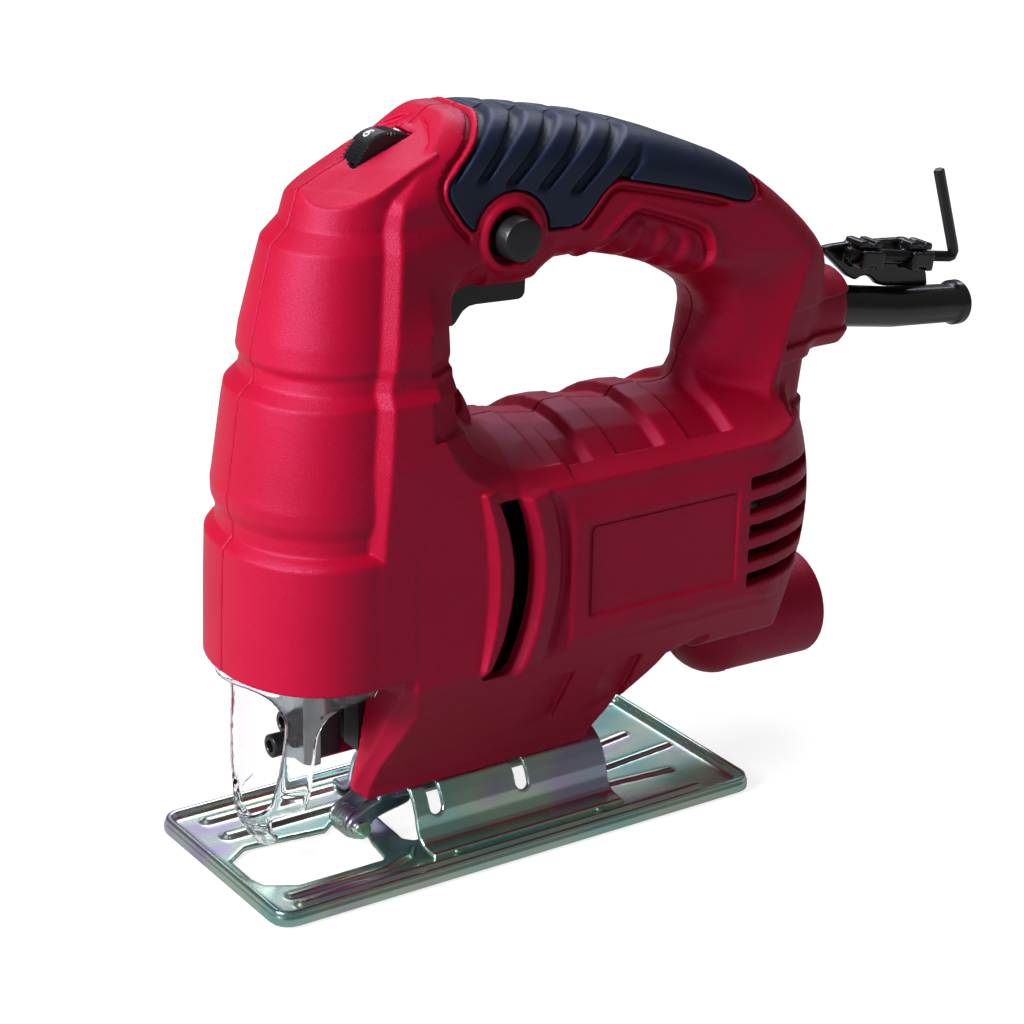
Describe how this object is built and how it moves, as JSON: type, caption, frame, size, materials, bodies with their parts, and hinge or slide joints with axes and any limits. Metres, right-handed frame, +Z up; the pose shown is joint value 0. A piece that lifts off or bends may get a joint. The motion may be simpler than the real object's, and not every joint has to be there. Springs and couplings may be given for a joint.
{
  "type": "jigsaw",
  "caption": "Corded D-handle jigsaw with a bevelling pressed-steel shoe, reciprocating blade clamp, guide roller, clear guard, speed dial, trigger and lock-on button.",
  "frame": {"origin": "middle of the whole tool's box, on the surface that the shoe stands on", "axes": "+X forward along the cut to the nose, +Y to the side with the lock-on button, +Z up from the shoe"},
  "size_m": [0.245, 0.066, 0.1963],
  "materials": {
    "red_plastic": "fine spark-eroded texture with a soft gloss",
    "soft_grip": "matt overmoulded rubber",
    "clear_plastic": "clear moulded polycarbonate",
    "black_plastic": "fine moulded texture",
    "black_pvc": "glossy moulded PVC",
    "zinc_steel": "pressed sheet, bright zinc plate with a faint yellow and blue cast",
    "machined_steel": "turned and ground",
    "cast_steel": "sintered steel, lightly oiled",
    "black_steel": "black oxide",
    "lamination": "stacked laminations",
    "copper": "enamelled copper",
    "bronze": "sintered bronze",
    "carbon": "pressed carbon",
    "aluminium_plate": "die cast",
    "circuit_board": "solder mask",
    "capacitor_case": "dipped epoxy"
  },
  "bodies": {
    "casing": {"housing_left": "red_plastic", "housing_right": "red_plastic", "grip_left": "soft_grip", "grip_right": "soft_grip", "side_plates": "red_plastic", "dust_port": "red_plastic", "front_guard": "clear_plastic", "guard_baffle": "black_plastic", "speed_board": "circuit_board", "switch_body": "black_plastic", "trigger_spring": "machined_steel", "lock_spring": "machined_steel", "field_stator": "lamination", "field_coils": "copper", "front_bearing": "machined_steel", "rear_bearing": "machined_steel", "brush_holders": "bronze", "carbon_brushes": "carbon", "capacitor": "capacitor_case", "gear_axle": "machined_steel", "bearing_plate": "aluminium_plate", "upper_bush": "bronze", "lower_bush": "bronze", "roller_bracket": "cast_steel", "roller_pin": "machined_steel", "bevel_plate": "cast_steel", "bevel_screw": "black_steel", "bevel_nut": "machined_steel", "housing_screws": "black_steel", "cord_clamp": "black_plastic", "cord_guard": "black_pvc", "key_holder": "black_pvc"},
    "plunger": {"plunger": "machined_steel", "yoke": "cast_steel", "blade_clamp": "cast_steel", "clamp_screws": "black_steel"},
    "drive": {"drive_gear": "cast_steel", "crank_pin": "machined_steel"},
    "armature": {"armature_shaft": "machined_steel", "armature_core": "lamination", "commutator": "copper", "cooling_fan": "black_plastic", "pinion": "machined_steel"},
    "dial": {"speed_dial": "black_plastic"},
    "trigger": {"trigger": "black_plastic"},
    "lock": {"lock_button": "black_plastic"},
    "shoe": {"shoe": "zinc_steel", "bevel_arch": "zinc_steel", "arch_rivets": "zinc_steel"},
    "roller": {"guide_roller": "cast_steel"},
    "key": {"hex_key": "black_steel"}
  },
  "joints": [
    {"name": "plunger_slide", "type": "slide", "parent": "casing", "child": "plunger", "axis": [0, 0, 1], "range_m": [-0.018, 0]},
    {"name": "gear_spin", "type": "hinge", "parent": "casing", "child": "drive", "pos_m": [0.0675, 0, 0.1], "axis": [1, 0, 0], "continuous": true},
    {"name": "armature_spin", "type": "hinge", "parent": "casing", "child": "armature", "pos_m": [0.0475, 0, 0.072], "axis": [1, 0, 0], "continuous": true},
    {"name": "dial_turn", "type": "hinge", "parent": "casing", "child": "dial", "pos_m": [0.0735, 0, 0.1812], "axis": [0, 1, 0], "range_deg": [0, 250]},
    {"name": "trigger_slide", "type": "slide", "parent": "casing", "child": "trigger", "axis": [0, 0, 1], "range_m": [0, 0.005], "stiffness_N_per_m": 900, "springref_m": -0.001, "deforming": ["trigger_spring"]},
    {"name": "lock_slide", "type": "slide", "parent": "casing", "child": "lock", "axis": [0, -1, 0], "range_m": [0, 0.004], "stiffness_N_per_m": 500, "springref_m": -0.001, "deforming": ["lock_spring"]},
    {"name": "bevel_tilt", "type": "hinge", "parent": "casing", "child": "shoe", "pos_m": [0.0475, 0, 0], "axis": [1, 0, 0], "range_deg": [-45, 45]},
    {"name": "roller_spin", "type": "hinge", "parent": "casing", "child": "roller", "pos_m": [0.0831, 0, 0.0057], "axis": [0, 1, 0], "continuous": true},
    {"name": "key_slide", "type": "slide", "parent": "casing", "child": "key", "axis": [-0.9877, 0, -0.1564], "range_m": [0, 0.045]}
  ],
  "couplings": [
    {"joint": "armature_spin", "follows": "gear_spin", "ratio": -4.8333}
  ]
}
